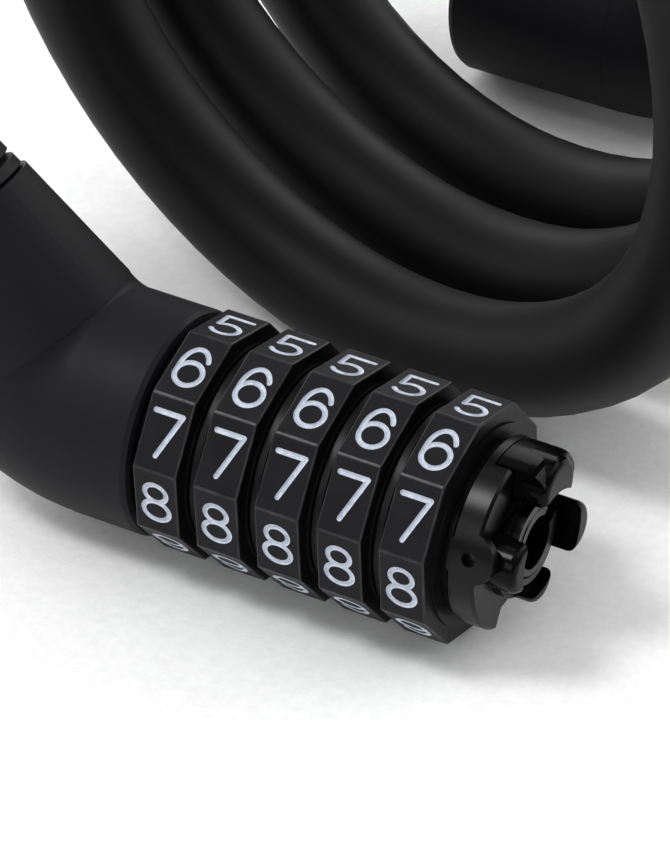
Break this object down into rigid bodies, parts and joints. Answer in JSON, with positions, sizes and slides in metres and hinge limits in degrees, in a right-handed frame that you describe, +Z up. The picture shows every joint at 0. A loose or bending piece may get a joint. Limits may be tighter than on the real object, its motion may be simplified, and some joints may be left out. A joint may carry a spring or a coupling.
{
  "type": "combination cable lock",
  "caption": "Combination cable lock: number dials on a barrel with a bent neck, a coiled cable in a black sheath, and a toothed bolt in a plug at its far end.",
  "frame": {"origin": "centre of the barrel, on its axis, in the middle of the third dial", "axes": "+X along the barrel's axis towards its open end, +Z up, -Y towards the side that shows the code"},
  "size_m": [0.1148, 0.1203, 0.1313],
  "materials": {
    "soft_black": "soft-touch matt black",
    "boot_black": "matt black",
    "dial_black": "semi-gloss black with white engraved numbers",
    "spacer_black": "dark grey",
    "ring_brass": "machined",
    "collar_black": "glossy black",
    "sheath_black": "matt black plastic sheath",
    "zinc": "zinc plated",
    "strand_steel": "bare strand",
    "spring_steel": "bright wire",
    "tube_steel": "turned steel"
  },
  "bodies": {
    "barrel": {"lock_housing": "soft_black", "lock_boot": "boot_black", "lock_ferrule": "zinc", "lock_pin": "tube_steel", "lock_strand": "strand_steel", "core_tube": "tube_steel", "core_pin": "tube_steel", "seat_disc": "zinc", "reset_spring": "spring_steel", "spacer_1": "spacer_black", "spacer_2": "spacer_black", "spacer_3": "spacer_black", "spacer_4": "spacer_black", "spacer_5": "spacer_black", "end_collar": "collar_black", "collar_pin": "tube_steel", "guide_pin": "tube_steel", "cable": "sheath_black", "plug_housing": "soft_black", "plug_boot": "boot_black", "plug_ferrule": "zinc", "plug_pin": "tube_steel", "plug_strand": "strand_steel", "plug_insert": "zinc", "plug_bolt": "tube_steel"},
    "dial_1_body": {"dial_1": "dial_black"},
    "dial_2_body": {"dial_2": "dial_black"},
    "dial_3_body": {"dial_3": "dial_black"},
    "dial_4_body": {"dial_4": "dial_black"},
    "dial_5_body": {"dial_5": "dial_black"},
    "ring_1_body": {"code_ring_1": "ring_brass"},
    "ring_2_body": {"code_ring_2": "ring_brass"},
    "ring_3_body": {"code_ring_3": "ring_brass"},
    "ring_4_body": {"code_ring_4": "ring_brass"},
    "ring_5_body": {"code_ring_5": "ring_brass"},
    "shift_body": {"shift_tube": "tube_steel", "shift_nut": "zinc", "snap_ring": "zinc"},
    "sleeve_body": {"reset_sleeve": "collar_black"}
  },
  "joints": [
    {"name": "dial_1_turn", "type": "hinge", "parent": "barrel", "child": "dial_1_body", "pos_m": [-0.014, 0, 0], "axis": [1, 0, 0], "continuous": true},
    {"name": "dial_2_turn", "type": "hinge", "parent": "barrel", "child": "dial_2_body", "pos_m": [-0.007, 0, 0], "axis": [1, 0, 0], "continuous": true},
    {"name": "dial_3_turn", "type": "hinge", "parent": "barrel", "child": "dial_3_body", "pos_m": [0, 0, 0], "axis": [1, 0, 0], "continuous": true},
    {"name": "dial_4_turn", "type": "hinge", "parent": "barrel", "child": "dial_4_body", "pos_m": [0.007, 0, 0], "axis": [1, 0, 0], "continuous": true},
    {"name": "dial_5_turn", "type": "hinge", "parent": "barrel", "child": "dial_5_body", "pos_m": [0.014, 0, 0], "axis": [1, 0, 0], "continuous": true},
    {"name": "shift_slide", "type": "slide", "parent": "barrel", "child": "shift_body", "axis": [1, 0, 0], "range_m": [0, 0.0016]},
    {"name": "reset_turn", "type": "hinge", "parent": "shift_body", "child": "sleeve_body", "pos_m": [0.021, 0, 0], "axis": [-1, 0, 0], "range_deg": [0, 90]},
    {"name": "ring_1_slide", "type": "slide", "parent": "dial_1_body", "child": "ring_1_body", "axis": [1, 0, 0], "range_m": [0, 0.0016]},
    {"name": "ring_2_slide", "type": "slide", "parent": "dial_2_body", "child": "ring_2_body", "axis": [1, 0, 0], "range_m": [0, 0.0016]},
    {"name": "ring_3_slide", "type": "slide", "parent": "dial_3_body", "child": "ring_3_body", "axis": [1, 0, 0], "range_m": [0, 0.0016]},
    {"name": "ring_4_slide", "type": "slide", "parent": "dial_4_body", "child": "ring_4_body", "axis": [1, 0, 0], "range_m": [0, 0.0016]},
    {"name": "ring_5_slide", "type": "slide", "parent": "dial_5_body", "child": "ring_5_body", "axis": [1, 0, 0], "range_m": [0, 0.0016]}
  ],
  "couplings": [
    {"joint": "reset_turn", "follows": "shift_slide", "rad_per_m": 981.75},
    {"joint": "ring_1_slide", "follows": "shift_slide", "ratio": 1},
    {"joint": "ring_2_slide", "follows": "shift_slide", "ratio": 1},
    {"joint": "ring_3_slide", "follows": "shift_slide", "ratio": 1},
    {"joint": "ring_4_slide", "follows": "shift_slide", "ratio": 1},
    {"joint": "ring_5_slide", "follows": "shift_slide", "ratio": 1}
  ]
}
